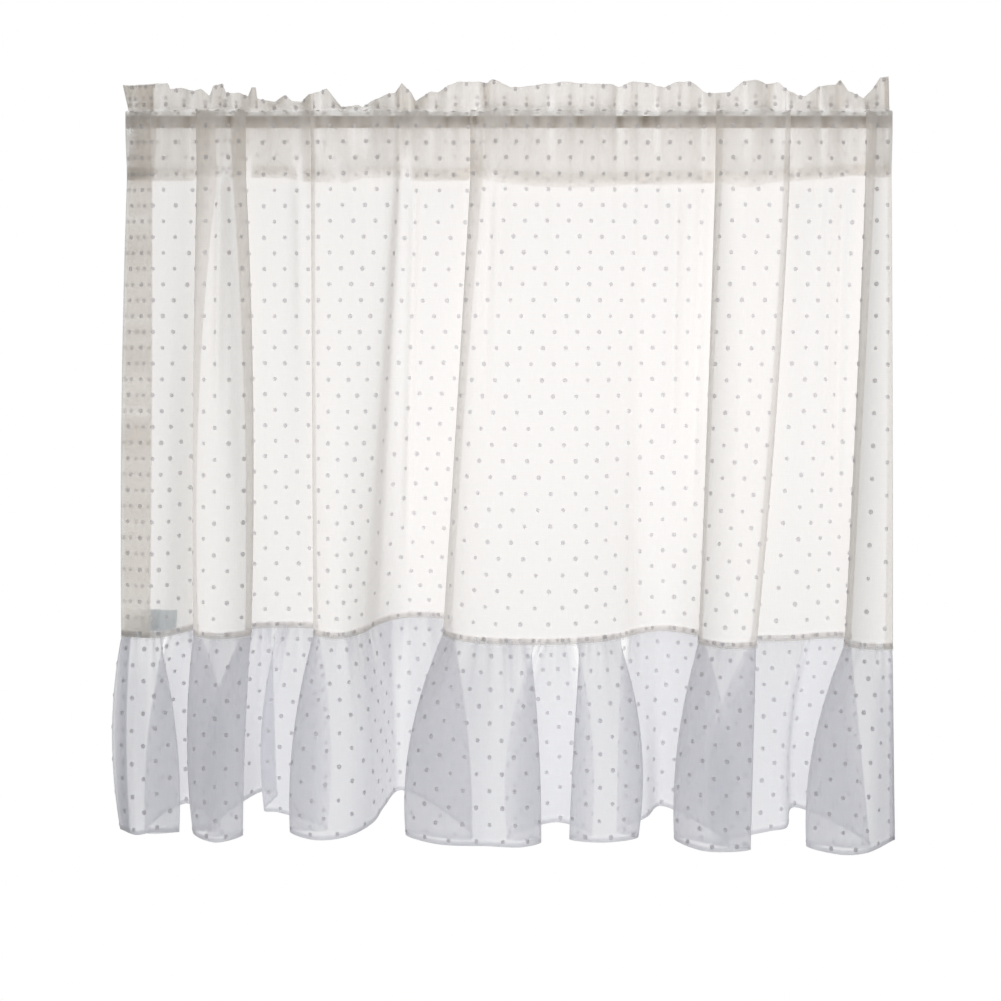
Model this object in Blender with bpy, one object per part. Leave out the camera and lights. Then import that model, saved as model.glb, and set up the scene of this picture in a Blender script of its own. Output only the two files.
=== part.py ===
"""Cafe curtain of dotted voile, gathered on a plain rod, with a ruffled flounce.

Origin: centre of the left end face of the rod. The rod runs along +X, the front of the
curtain faces -Y and +Z is up. Lengths below are in millimetres and are scaled once to metres.
"""

import bmesh
import bpy
import numpy as np

MM = 0.001

# Rod
ROD_LENGTH = 762.0
ROD_RADIUS = 6.0
ROD_EDGE = 0.6
ROD_SIDES = 32

# Cloth
CLOTH = 1.0
SIDE_HEM_EXTRA = 0.5
SIDE_HEM_WIDTH = 29.0
FOOT_HEM_EXTRA = 0.5

# Heights of the panel, measured from the axis of the rod
FOOT = -511.5
MIDDLE = -300.0
STITCH = -58.0
PLEATS_OPEN = -170.0  # above this height the turned-under folds open towards the stitching
FLAP_EDGE = -56.0
PINCH = 17.0
ROD_BAND = 8.0
FRONT_HEIGHTS = (FOOT, -440.0, -370.0, -300.0, -220.0, -140.0, STITCH, -36.0, -ROD_BAND, ROD_BAND, PINCH)
FLAP_HEIGHTS = (PINCH, ROD_BAND, -ROD_BAND, -34.0, FLAP_EDGE)
TURN_ROWS = 5  # rows round the turned-over top of the frill

# Folds that stand forward hang a little lower
FORWARD_SAG = 0.16
SAG_FROM = 8.0
HEM_DROP_CURVE = 1.3

# How the two layers of the heading stand off each other
PLY_OFFSET = 1.3  # half the distance between the layers where they are drawn together
ROD_STANDOFF = 9.4
FRONT_PLEAT_SHARE = 0.55
FLAP_BEHIND = 2.6
FLAP_GATHER_SHARE = 0.6
FRILL_LEAN = 0.3
FRILL_PLEAT_SHARE = 0.45
FRILL_SET_BACK = 3.0
FRILL_HEIGHT = 38.0
FRILL_LEAST = 4.0  # least height of the frill above the pinch

# Flounce
SEAM = -512.1
SWELL = -585.0
HEM = -692.0
FLOUNCE_HEIGHTS = (SEAM, -515.0, -526.0, -544.0, -570.0, -605.0, -648.0, HEM)
SEAM_EXTRA = (0.7, 0.4)  # the gathered allowance thickens the first rows below the seam

CUTS = 2  # mesh columns between two neighbouring rows of a fold table

# Long folds of the panel from left to right. Each row gives the place across (x) and the
# distance forward of the rod axis (out) at the stitched heading, half way down and at the foot.
# A row that steps back to the left is cloth turned under the fold beside it.
PANEL_FOLDS = np.array(
    [
        # xHead, xMiddle, xFoot, outHead, outMiddle, outFoot
        (1, -4, -3, 6, 8, 12),  # edge of the side hem
        (27, 28, 27, 9, 14, 17),
        (48, 44, 39, 11, 12, 14),
        (90, 70, 69, 3, -2, -7),  # turned under the second lobe
        (72, 68, 68, 13, 11, 9),
        (97, 96, 94, 16, 20, 20),
        (119, 128, 125, 13, 12, 8),
        (112, 117, 117, 2, 1, -6),
        (136, 137, 135, 4, -1, -12),
        (160, 159, 161, 8, 1, -13),
        (188, 188, 189, 3, -1, -8),  # turned under the third lobe
        (185, 186, 187, 10, 9, 7),
        (220, 215, 213, 15, 20, 19),
        (265, 250, 235, 13, 10, 4),
        (275, 262, 251, 3, -9, -25),
        (299, 290, 278, 6, -13, -44),
        (355, 336, 322, 2, -5, -35),  # turned under the wide lobe
        (343, 329, 316, 12, 11, 6),
        (359, 344, 336, 16, 22, 26),
        (403, 393, 383, 15, 28, 36),
        (457, 451, 451, 13, 27, 33),
        (502, 493, 489, 8, 15, 20),
        (520, 513, 514, 5, 6, 3),
        (542, 536, 538, 9, 5, -3),
        (566, 563, 560, 5, 3, 5),
        (594, 583, 572, 2, 5, 15),  # turned under the fifth lobe
        (586, 577, 567, 12, 20, 32),
        (620, 607, 592, 16, 34, 47),
        (660, 643, 621, 12, 25, 42),
        (656, 640, 618, 3, 12, 30),
        (683, 676, 664, 8, 14, 25),
        (710, 701, 693, 5, 8, 18),
        (747, 733, 718, 2, 6, 20),  # turned under the last lobe
        (735, 722, 708, 12, 24, 38),
        (749, 742, 730, 15, 35, 50),
        (761, 756, 752, 11, 33, 48),  # right-hand edge
    ],
    float,
)

# Folds of the flounce. `at` is the place along the panel's foot, counted in rows of the table
# above; the next four columns are as there, where the flounce swells and at its hem, and drop
# is how much lower the hem hangs there.
FLOUNCE_FOLDS = np.array(
    [
        # at, xSwell, xHem, outSwell, outHem, drop
        (0.0, -9, 2, 22, 34, 0),
        (0.5, 16, 21, 32, 46, 0),
        (1.0, 29, 35, 26, 41, 0),
        (1.7, 53, 61, 27, 40, 0),
        (2.1, 26, 24, 12, 26, 7),
        (2.5, 53, 54, -14, -20, 0),
        (3.0, 90, 90, -12, 0, 12),
        (4.0, 65, 74, 24, 40, 0),
        (5.0, 96, 101, 42, 61, 0),
        (6.0, 124, 124, 30, 46, 0),
        (7.0, 88, 88, 12, 30, 8),
        (7.8, 125, 127, -30, -47, 0),
        (8.3, 142, 143, -27, -41, 0),
        (8.6, 135, 136, -8, -4, 0),
        (9.0, 151, 150, -5, -1, 0),
        (10.0, 203, 202, 10, 22, 7),
        (11.0, 172, 168, 24, 38, 0),
        (11.6, 198, 194, 38, 56, 0),
        (12.2, 223, 224, 34, 50, 0),
        (12.8, 241, 247, 20, 22, 0),
        (13.4, 253, 256, -9, -14, 0),
        (14.8, 268, 270, -42, -50, 0),
        (16.0, 338, 345, -6, 14, 9),
        (17.0, 289, 281, 26, 44, 0),
        (18.0, 319, 312, 48, 64, 0),
        (18.6, 360, 360, 53, 68, 0),
        (19.1, 391, 394, 53, 70, 0),
        (19.28, 409, 412, 46, 60, 0),
        (19.37, 387, 383, 33, 40, 5),
        (19.62, 426, 428, 25, 20, 0),
        (19.93, 461, 462, 30, 36, 5),
        (20.0, 445, 439, 44, 54, 0),
        (20.5, 474, 472, 46, 61, 0),
        (21.0, 508, 506, 32, 50, 0),
        (21.15, 490, 487, 18, 28, 6),
        (22.0, 516, 517, 2, 11, 0),
        (23.2, 538, 535, -9, -15, 0),
        (25.0, 594, 595, 20, 38, 10),
        (26.0, 548, 540, 40, 52, 0),
        (26.6, 569, 562, 62, 76, 0),
        (27.3, 597, 592, 63, 79, 0),
        (28.0, 616, 610, 58, 74, 0),
        (29.0, 582, 579, 42, 54, 6),
        (29.5, 641, 636, 33, 38, 0),
        (30.1, 656, 652, 27, 32, 0),
        (30.6, 669, 669, 5, -12, 0),
        (32.0, 724, 731, 24, 40, 9),
        (33.0, 678, 664, 52, 67, 0),
        (33.8, 699, 691, 66, 84, 0),
        (34.3, 726, 716, 66, 82, 0),
        (35.0, 752, 752, 50, 55, 0),
    ],
    float,
)

# Small ridges gathered up by the rod.
GATHERS = np.array(
    [
        # x, halfWidth, out
        (33, 8, 3.0),
        (58, 7, 3.5),
        (150, 8, 3.0),
        (173, 8, 4.0),
        (205, 9, 4.5),
        (243, 8, 3.0),
        (291, 8, 4.0),
        (372, 9, 4.0),
        (415, 10, 4.5),
        (437, 8, 3.0),
        (480, 8, 4.0),
        (548, 8, 3.5),
        (634, 9, 4.0),
        (700, 8, 3.0),
        (722, 8, 3.0),
    ],
    float,
)

# Top edge of the frilled header: height above the rod axis.
FRILL_TOP = np.array(
    [
        # x, height
        (-3, 37),
        (42, 38),
        (50, 33),
        (74, 32),
        (83, 25),
        (91, 37),
        (101, 28),
        (120, 25),
        (127, 35),
        (134, 22),
        (149, 20),
        (158, 26),
        (176, 21),
        (184, 28),
        (200, 32),
        (214, 17),
        (230, 19),
        (262, 27),
        (274, 38),
        (289, 20),
        (303, 31),
        (320, 37),
        (340, 41),
        (360, 38),
        (383, 33),
        (433, 39),
        (473, 37),
        (492, 35),
        (524, 39),
        (536, 34),
        (562, 41),
        (578, 29),
        (601, 28),
        (620, 41),
        (650, 40),
        (673, 26),
        (692, 36),
        (713, 43),
        (736, 25),
        (752, 43),
        (763, 45),
    ],
    float,
)

# Label folded double behind the corner: place of its foot, size and the gap of its fold
LABEL_LEFT = 15.0
LABEL_FOOT = -500.0
LABEL_WIDTH = 34.0
LABEL_HEIGHT = 22.0
LABEL_PLY = 0.5
LABEL_FOLD_GAP = 0.8
LABEL_TURN = 1.0  # height of the turn at its foot
LABEL_BEHIND = 3.4
LABEL_LAST_FOLD = 3  # it lies behind the cloth before this row of the fold table
LABEL_SAMPLES = 60
LABEL_COLUMNS = 8
LABEL_ROWS = 5


def clear_scene():
    for obj in list(bpy.data.objects):
        bpy.data.objects.remove(obj)


def material(name, color, roughness, metallic=0.0):
    made = bpy.data.materials.new(name)
    made.use_nodes = True
    shader = made.node_tree.nodes["Principled BSDF"]
    shader.inputs["Base Color"].default_value = (*color, 1.0)
    shader.inputs["Roughness"].default_value = roughness
    shader.inputs["Metallic"].default_value = metallic
    return made


def add_mesh(name, points, faces, finish):
    """One object in metres from points in millimetres (x across, out forward, height)."""
    mesh = bpy.data.meshes.new(name)
    mesh.from_pydata((points * (MM, -MM, MM)).tolist(), [], faces)
    mesh.materials.append(finish)
    mesh.validate()
    obj = bpy.data.objects.new(name, mesh)
    bpy.context.scene.collection.objects.link(obj)
    return obj


def at_height(height, levels, rows):
    """Rows of a fold table at one height: the parabola through the rows at three levels."""
    low, middle, high = levels
    share_low = (height - middle) * (height - high) / ((low - middle) * (low - high))
    share_middle = (height - low) * (height - high) / ((middle - low) * (middle - high))
    share_high = (height - low) * (height - middle) / ((high - low) * (high - middle))
    return share_low * rows[0] + share_middle * rows[1] + share_high * rows[2]


def mix(first, second, start, end, at):
    return (first * (end - at) + second * (at - start)) / (end - start)


def soft_curve(corners, places):
    """Points on a rounded curve through the corners; a place counts along the corners."""
    line = np.vstack([2 * corners[0] - corners[1], corners, 2 * corners[-1] - corners[-2]])
    found = []
    for place in places:
        start = min(int(place), len(corners) - 2)
        a, b, c, d = line[start : start + 4]
        knot_b = np.linalg.norm(b - a) ** 0.5
        knot_c = knot_b + np.linalg.norm(c - b) ** 0.5
        knot_d = knot_c + np.linalg.norm(d - c) ** 0.5
        at = knot_b + (place - start) * (knot_c - knot_b)
        a_b = mix(a, b, 0.0, knot_b, at)
        b_c = mix(b, c, knot_b, knot_c, at)
        c_d = mix(c, d, knot_c, knot_d, at)
        early = mix(a_b, b_c, 0.0, knot_c, at)
        late = mix(b_c, c_d, knot_b, knot_d, at)
        found.append(mix(early, late, knot_b, knot_c, at))
    return np.array(found)


def eased(share):
    share = np.clip(share, 0.0, 1.0)
    return share * share * (3.0 - 2.0 * share)


def gather_ridges(x):
    """How far the small ridges stand out at places across the rod."""
    away = (x[:, None] - GATHERS[:, 0]) / GATHERS[:, 1]
    return (GATHERS[:, 2] * np.exp(-away * away)).sum(axis=1)


def frill_height(x):
    return np.interp(x, FRILL_TOP[:, 0], FRILL_TOP[:, 1])


def pinch_height(x):
    """The two layers meet above the rod, lower where the frill itself is low."""
    return np.minimum(PINCH, frill_height(x) - FRILL_LEAST)


def frill_lean(x, out):
    """Middle of the doubled frill, which leans further forward where it stands lower."""
    return FRILL_PLEAT_SHARE * out - FRILL_SET_BACK + FRILL_LEAN * (FRILL_HEIGHT - frill_height(x))


def with_height(row, height):
    heights = pinch_height(row[:, 0]) if height == PINCH else np.full(len(row), height)
    return np.column_stack([row, heights])


def sagging(row, height, share):
    """A row of columns whose forward folds hang a little lower than the others."""
    drop = FORWARD_SAG * share * (row[:, 1] - SAG_FROM)
    return np.column_stack([row, height - drop])


def places_along(rows):
    return np.linspace(0, len(rows) - 1, (len(rows) - 1) * CUTS + 1)


def panel_section(height):
    """Curve of the front layer below and behind the stitching at one height."""
    x = PANEL_FOLDS[:, 2::-1].T
    out = PANEL_FOLDS[:, 5:2:-1].T
    levels = (FOOT, MIDDLE, STITCH)
    x = at_height(height, levels, x)
    open_share = eased((height - PLEATS_OPEN) / (STITCH - PLEATS_OPEN))
    x = x * (1 - open_share) + np.sort(x) * open_share
    return np.column_stack([x, at_height(height, levels, out)])


def front_row(height):
    """The front layer at one height, as columns of x, out and height."""
    places = places_along(PANEL_FOLDS)
    if height <= STITCH:
        share = eased((STITCH - height) / (STITCH - FOOT))
        return sagging(soft_curve(panel_section(height), places), height, share)
    x, out_head = np.sort(PANEL_FOLDS[:, 0]), PANEL_FOLDS[:, 3]
    over_rod = ROD_STANDOFF + FRONT_PLEAT_SHARE * out_head
    if height <= ROD_BAND:
        rise = eased((height - STITCH) / (-ROD_BAND - STITCH))
        out = out_head * (1 - rise) + over_rod * rise
    else:
        out = frill_lean(x, out_head) + PLY_OFFSET
    row = soft_curve(np.column_stack([x, out]), places)
    row[:, 1] += gather_ridges(row[:, 0]) * eased((height - STITCH) / (-ROD_BAND - STITCH))
    return with_height(row, height)


def flap_row(height):
    """The layer behind the rod at one height."""
    x, out_head = np.sort(PANEL_FOLDS[:, 0]), PANEL_FOLDS[:, 3]
    padded = np.pad(out_head, 2, mode="edge")
    rearmost = np.min([padded[i : i + len(x)] for i in range(5)], axis=0)
    low = rearmost - FLAP_BEHIND
    over_rod = np.full(len(x), -ROD_STANDOFF)
    if height <= ROD_BAND:
        rise = eased((height - FLAP_EDGE) / (-ROD_BAND - FLAP_EDGE))
        out = low * (1 - rise) + over_rod * rise
        gathered = -FLAP_GATHER_SHARE * rise
    else:
        out = frill_lean(x, out_head) - PLY_OFFSET
        gathered = 1.0
    row = soft_curve(np.column_stack([x, out]), places_along(PANEL_FOLDS))
    row[:, 1] += gather_ridges(row[:, 0]) * gathered
    return with_height(row, height)


def header_rows():
    """The doubled frill above the pinch: up the front, round its top edge and down the back."""
    front, back = front_row(PINCH), flap_row(PINCH)
    middle = (front + back) / 2
    top = frill_height(middle[:, 0])
    rise = top - PLY_OFFSET - middle[:, 2]
    half_way = middle.copy()
    half_way[:, 2] += rise / 2
    rows = [half_way + (0.0, PLY_OFFSET, 0.0)]
    for angle in np.linspace(0.0, np.pi, TURN_ROWS):
        row = middle.copy()
        row[:, 1] += PLY_OFFSET * np.cos(angle)
        row[:, 2] += rise + PLY_OFFSET * np.sin(angle)
        rows.append(row)
    return [*rows, half_way - (0.0, PLY_OFFSET, 0.0)]


def directions(grid, axis):
    """Direction of the sheet at each grid point: halfway between the two steps that meet there."""
    steps = np.diff(grid, axis=axis)
    steps /= np.linalg.norm(steps, axis=2, keepdims=True)
    first, last = np.take(steps, [0], axis), np.take(steps, [-1], axis)
    return np.concatenate([first, steps], axis) + np.concatenate([steps, last], axis)


def sheet_solid(name, rows, thickness, finish):
    """A closed sheet of the given thickness about a grid of centre points."""
    grid = np.array(rows)
    normal = np.cross(directions(grid, 1), directions(grid, 0))
    normal /= np.linalg.norm(normal, axis=2, keepdims=True)
    half = (thickness / 2)[..., None]
    count_v, count_u = grid.shape[:2]
    sides = (grid + normal * half, grid - normal * half)
    points = np.concatenate([side.reshape(-1, 3) for side in sides])
    other = count_v * count_u
    faces = []
    for v in range(count_v - 1):
        for u in range(count_u - 1):
            a = v * count_u + u
            b, c, d = a + 1, a + count_u + 1, a + count_u
            faces.append((a, b, c, d))
            faces.append((other + d, other + c, other + b, other + a))
    rim = list(range(count_u))
    rim += [v * count_u + count_u - 1 for v in range(1, count_v)]
    rim += [(count_v - 1) * count_u + u for u in range(count_u - 2, -1, -1)]
    rim += [v * count_u for v in range(count_v - 2, 0, -1)]
    for first, second in zip(rim, rim[1:] + rim[:1]):
        faces.append((second, first, other + first, other + second))
    obj = add_mesh(name, points, faces, finish)
    face_outwards(obj)
    return obj


def face_outwards(obj):
    mesh = bmesh.new()
    mesh.from_mesh(obj.data)
    bmesh.ops.recalc_face_normals(mesh, faces=mesh.faces)
    mesh.to_mesh(obj.data)
    mesh.free()


def build_panel(finish):
    rows = [front_row(height) for height in FRONT_HEIGHTS]
    rows += header_rows()
    rows += [flap_row(height) for height in FLAP_HEIGHTS]
    hem_side = np.array(rows)[:, :, 0] < SIDE_HEM_WIDTH
    thickness = np.full(hem_side.shape, CLOTH)
    below_rod = len([height for height in FRONT_HEIGHTS if height < -ROD_BAND])
    thickness[:below_rod][hem_side[:below_rod]] += SIDE_HEM_EXTRA
    return sheet_solid("panel", rows, thickness, finish)


def build_flounce(finish):
    places = places_along(FLOUNCE_FOLDS)
    at = np.interp(places, np.arange(len(FLOUNCE_FOLDS)), FLOUNCE_FOLDS[:, 0])
    foot = panel_section(FOOT)
    seam = soft_curve(foot, at)
    swell = soft_curve(FLOUNCE_FOLDS[:, [1, 3]], places)
    hem = soft_curve(FLOUNCE_FOLDS[:, [2, 4]], places)
    drop = soft_curve(FLOUNCE_FOLDS[:, [0, 5]], places)[:, 1]
    rows = []
    for height in FLOUNCE_HEIGHTS:
        row = sagging(at_height(height, (HEM, SWELL, SEAM), (hem, swell, seam)), height, 1.0)
        row[:, 2] -= drop * ((SEAM - height) / (SEAM - HEM)) ** HEM_DROP_CURVE
        rows.append(row)
    thickness = np.full((len(rows), len(places)), CLOTH)
    thickness[-1] += FOOT_HEM_EXTRA
    thickness[0] += SEAM_EXTRA[0]
    thickness[1] += SEAM_EXTRA[1]
    return sheet_solid("flounce", rows, thickness, finish)


def build_label(finish):
    """A strip folded double at its foot, lying behind the corner of the panel."""
    corner = soft_curve(panel_section(LABEL_FOOT), np.linspace(0, LABEL_LAST_FOLD, LABEL_SAMPLES))
    x = np.linspace(LABEL_LEFT, LABEL_LEFT + LABEL_WIDTH, LABEL_COLUMNS)
    cloth_out = np.interp(x, corner[:, 0], corner[:, 1])
    front = cloth_out - LABEL_BEHIND
    back = front - LABEL_PLY - LABEL_FOLD_GAP
    heights = np.linspace(LABEL_HEIGHT, LABEL_TURN, LABEL_ROWS)
    rows = [np.column_stack([x, front, np.full(len(x), LABEL_FOOT + h)]) for h in heights]
    rows.append(np.column_stack([x, (front + back) / 2, np.full(len(x), LABEL_FOOT)]))
    rows += [np.column_stack([x, back, np.full(len(x), LABEL_FOOT + h)]) for h in heights[::-1]]
    thickness = np.full((len(rows), len(x)), LABEL_PLY)
    return sheet_solid("label", rows, thickness, finish)


def build_rod(finish):
    """A round bar with its two ends lightly chamfered and flat."""
    turn = np.linspace(0.0, 2 * np.pi, ROD_SIDES, endpoint=False)
    profile = (
        (0.0, ROD_RADIUS - ROD_EDGE),
        (ROD_EDGE, ROD_RADIUS),
        (ROD_LENGTH - ROD_EDGE, ROD_RADIUS),
        (ROD_LENGTH, ROD_RADIUS - ROD_EDGE),
    )
    circle = np.column_stack([turn * 0, np.cos(turn), np.sin(turn)])
    rings = [circle * radius + (x, 0.0, 0.0) for x, radius in profile]
    faces = [tuple(range(ROD_SIDES)), tuple(range(3 * ROD_SIDES, 4 * ROD_SIDES))]
    for ring in range(len(profile) - 1):
        for i in range(ROD_SIDES):
            a, b = ring * ROD_SIDES + i, ring * ROD_SIDES + (i + 1) % ROD_SIDES
            faces.append((a, b, b + ROD_SIDES, a + ROD_SIDES))
    obj = add_mesh("rod", np.concatenate(rings), faces, finish)
    face_outwards(obj)
    return obj


clear_scene()
voile = material("dotted_voile", (0.90, 0.89, 0.86), 0.85)
ruffle = material("dotted_voile_flounce", (0.88, 0.89, 0.90), 0.85)
tape = material("label_tape", (0.80, 0.80, 0.78), 0.7)
steel = material("painted_rod", (0.78, 0.77, 0.74), 0.4, 0.2)
build_panel(voile)
build_flounce(ruffle)
build_label(tape)
build_rod(steel)
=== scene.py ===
import math

import bpy
import numpy as np
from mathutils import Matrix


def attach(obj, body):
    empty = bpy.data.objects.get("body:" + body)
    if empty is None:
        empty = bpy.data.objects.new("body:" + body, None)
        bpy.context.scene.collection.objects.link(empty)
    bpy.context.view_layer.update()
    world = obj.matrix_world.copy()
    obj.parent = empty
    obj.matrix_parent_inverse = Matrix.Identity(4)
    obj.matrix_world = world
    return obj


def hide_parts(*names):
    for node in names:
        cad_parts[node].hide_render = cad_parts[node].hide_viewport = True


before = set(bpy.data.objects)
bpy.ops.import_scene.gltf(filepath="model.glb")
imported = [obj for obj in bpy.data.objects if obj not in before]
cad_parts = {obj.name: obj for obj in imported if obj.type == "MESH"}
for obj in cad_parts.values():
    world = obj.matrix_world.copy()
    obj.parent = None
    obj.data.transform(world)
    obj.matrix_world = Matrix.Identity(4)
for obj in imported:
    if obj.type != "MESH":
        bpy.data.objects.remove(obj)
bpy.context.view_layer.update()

millimetre = 0.001


cameraSet = {
    "across": 0.373,
    "height": -0.258,
    "distance": 1.4,
    "fieldWidth": 1.001,
    "shiftDown": 0.1204,
}

lightSet = {
    "backSize": 2.6,
    "backBehind": 1.5,
    "backHeight": -0.25,
    "backPower": 20.3,
    "backColor": (0.97, 0.985, 1.0),
    "windowPlace": (0.50, 0.45, -0.22),
    "windowSize": (0.62, 0.44),
    "windowPower": 2.45,
    "windowColor": (1.0, 0.965, 1.02),
    "sillPlace": (0.38, -0.75, -1.0),
    "sillSize": (1.3, 0.3),
    "sillTilt": 115,
    "sillPower": 3.6,
    "sillColor": (0.95, 0.96, 1.0),
    "topPlace": (0.38, 0.0, 1.15),
    "topSize": (1.4, 0.8),
    "topPower": 3.6,
    "topColor": (1.0, 0.97, 0.93),
    "frontSize": 2.2,
    "frontAway": 2.6,
    "frontHeight": 0.5,
    "frontTilt": 78,
    "frontPower": 5.0,
    "frontColor": (0.93, 0.96, 1.0),
    "roomGrey": 0.25,
    "floorDrop": 1.02,
    "floorSize": 2.6,
}


def addCamera():
    data = bpy.data.cameras.new("camera")
    data.sensor_width = 36.0
    data.lens = data.sensor_width * cameraSet["distance"] / cameraSet["fieldWidth"]
    data.shift_y = -cameraSet["shiftDown"]
    camera = bpy.data.objects.new("camera", data)
    camera.location = (cameraSet["across"], -cameraSet["distance"], cameraSet["height"])
    camera.rotation_euler = (math.radians(90), 0, 0)
    bpy.context.scene.collection.objects.link(camera)
    bpy.context.scene.camera = camera


def addAreaLight(name, place, turn, size, power, color):
    data = bpy.data.lights.new(name, "AREA")
    data.shape = "RECTANGLE"
    data.size, data.size_y = size
    data.energy = power
    data.color = color
    lamp = bpy.data.objects.new(name, data)
    lamp.location = place
    lamp.rotation_euler = turn
    lamp.visible_camera = False
    bpy.context.scene.collection.objects.link(lamp)


def addRoom():
    # daylight comes from behind, brightest at the window, with softer light from the room
    middle = cameraSet["across"]
    behind = (middle, lightSet["backBehind"], lightSet["backHeight"])
    addAreaLight("backLight", behind, (math.radians(-90), 0, 0),
                 (lightSet["backSize"],) * 2, lightSet["backPower"], lightSet["backColor"])
    addAreaLight("topLight", lightSet["topPlace"], (0, 0, 0),
                 lightSet["topSize"], lightSet["topPower"], lightSet["topColor"])
    addAreaLight("windowLight", lightSet["windowPlace"], (math.radians(-90), 0, 0),
                 lightSet["windowSize"], lightSet["windowPower"], lightSet["windowColor"])
    before = (middle, -lightSet["frontAway"], lightSet["frontHeight"])
    addAreaLight("frontLight", before, (math.radians(lightSet["frontTilt"]), 0, 0),
                 (lightSet["frontSize"],) * 2, lightSet["frontPower"], lightSet["frontColor"])
    addAreaLight("sillLight", lightSet["sillPlace"], (math.radians(lightSet["sillTilt"]), 0, 0),
                 lightSet["sillSize"], lightSet["sillPower"], lightSet["sillColor"])
    world = bpy.data.worlds.new("paleRoom")
    bpy.context.scene.world = world
    world.use_nodes = True
    nodes, links = world.node_tree.nodes, world.node_tree.links
    nodes.clear()
    seen = nodes.new("ShaderNodeBackground")
    seen.inputs["Color"].default_value = (1, 1, 1, 1)
    lit = nodes.new("ShaderNodeBackground")
    lit.inputs["Color"].default_value = (lightSet["roomGrey"],) * 3 + (1,)
    path = nodes.new("ShaderNodeLightPath")
    mix = nodes.new("ShaderNodeMixShader")
    out = nodes.new("ShaderNodeOutputWorld")
    links.new(path.outputs["Is Camera Ray"], mix.inputs[0])
    links.new(lit.outputs[0], mix.inputs[1])
    links.new(seen.outputs[0], mix.inputs[2])
    links.new(mix.outputs[0], out.inputs["Surface"])
    bpy.context.scene.view_settings.view_transform = "Standard"


def addFloor():
    place = (cameraSet["across"], 0, -lightSet["floorDrop"])
    bpy.ops.mesh.primitive_plane_add(size=lightSet["floorSize"], location=place)
    floor = bpy.context.active_object
    floor.name = "floor"
    bpy.ops.object.transform_apply(location=True, rotation=True, scale=True)
    paint = bpy.data.materials.new("paleFloor")
    paint.use_nodes = True
    nodes, links = paint.node_tree.nodes, paint.node_tree.links
    shader = nodes["Principled BSDF"]
    shader.inputs["Base Color"].default_value = (0.9, 0.9, 0.9, 1)
    shader.inputs["Roughness"].default_value = 0.9
    # the camera sees the floor as pale as the room, so no edge shows between them
    seen = nodes.new("ShaderNodeEmission")
    path = nodes.new("ShaderNodeLightPath")
    blend = nodes.new("ShaderNodeMixShader")
    links.new(path.outputs["Is Camera Ray"], blend.inputs[0])
    links.new(shader.outputs[0], blend.inputs[1])
    links.new(seen.outputs[0], blend.inputs[2])
    links.new(blend.outputs[0], nodes["Material Output"].inputs["Surface"])
    floor.data.materials.append(paint)


addCamera()
addRoom()
addFloor()
print("camera, light and floor are in place")


clothSet = {
    "foot": -511.5,
    "middle": -300.0,
    "stitch": -58.0,
    "flapEdge": -55.0,
    "rodBand": 8.0,
    "pinch": 11.5,
    "plyGap": 0.9,
    "rodStandoff": 8.4,
    "pleatShare": 0.55,
    "forwardSag": 0.16,
    "sagFrom": 8.0,
    "panelCuts": 15,
    "panelRows": 46,
    "headingRows": 16,
    "flapRows": 20,
    "pleatShow": 1.5,
    "pleatFade": 45.0,
    "creaseStrength": 1.7,
    "flapBehind": 2.2,
    "flapGather": 0.6,
    "flapPleat": 0.4,
    "sideHem": 28.0,
    "flapTurn": 13.0,
    "seamAllowance": 6.0,
    "turnGap": 0.7,
    "turnStep": 2.6,
    "steepest": 0.55,
}

frillSet = {
    "middleShare": 0.45,
    "middleBack": 3.0,
    "leastHeight": 4.0,
    "lean": 0.3,
    "leanFrom": 38.0,
    "creases": 3.4,
    "footRuffle": 0.8,
    "topRuffle": 1.3,
    "bend": 1.4,
    "flare": 5.5,
    "flareReach": 9.0,
    "openOver": 6.5,
}

# Long folds of the panel from left to right: place across and distance forward of the rod
# axis at the stitched heading, half way down and at the foot. A row that steps back to the
# left is cloth turned under the fold beside it.
panelFolds = np.array([
    # xHead, xMiddle, xFoot, outHead, outMiddle, outFoot
    (1, -4, -3, 6, 8, 12),
    (27, 28, 27, 9, 14, 17),
    (48, 44, 39, 11, 12, 14),
    (90, 70, 69, 3, -2, -7),
    (72, 68, 68, 13, 11, 9),
    (97, 96, 94, 16, 20, 20),
    (121, 128, 125, 13, 12, 8),
    (105, 117, 117, 2, 1, -6),
    (136, 137, 135, 4, -1, -12),
    (160, 159, 161, 8, 1, -13),
    (188, 188, 189, 3, -1, -8),
    (185, 186, 187, 10, 9, 7),
    (220, 215, 213, 15, 20, 19),
    (265, 250, 235, 13, 10, 4),
    (275, 262, 251, 3, -9, -25),
    (299, 290, 278, 6, -13, -44),
    (355, 336, 322, 2, -5, -35),
    (343, 329, 316, 12, 11, 6),
    (359, 344, 336, 16, 22, 26),
    (403, 393, 383, 15, 28, 36),
    (457, 451, 451, 13, 27, 33),
    (502, 493, 489, 8, 15, 20),
    (520, 513, 514, 5, 6, 3),
    (542, 536, 538, 9, 5, -3),
    (566, 563, 560, 5, 3, 5),
    (594, 583, 572, 2, 5, 15),
    (586, 577, 567, 12, 20, 32),
    (620, 607, 592, 16, 34, 47),
    (660, 643, 621, 12, 25, 42),
    (656, 640, 618, 3, 12, 30),
    (683, 676, 664, 8, 14, 25),
    (710, 701, 693, 5, 8, 18),
    (747, 733, 718, 2, 6, 20),
    (735, 722, 708, 12, 24, 38),
    (749, 742, 730, 15, 35, 50),
    (761, 756, 752, 11, 33, 48),
], float)

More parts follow.
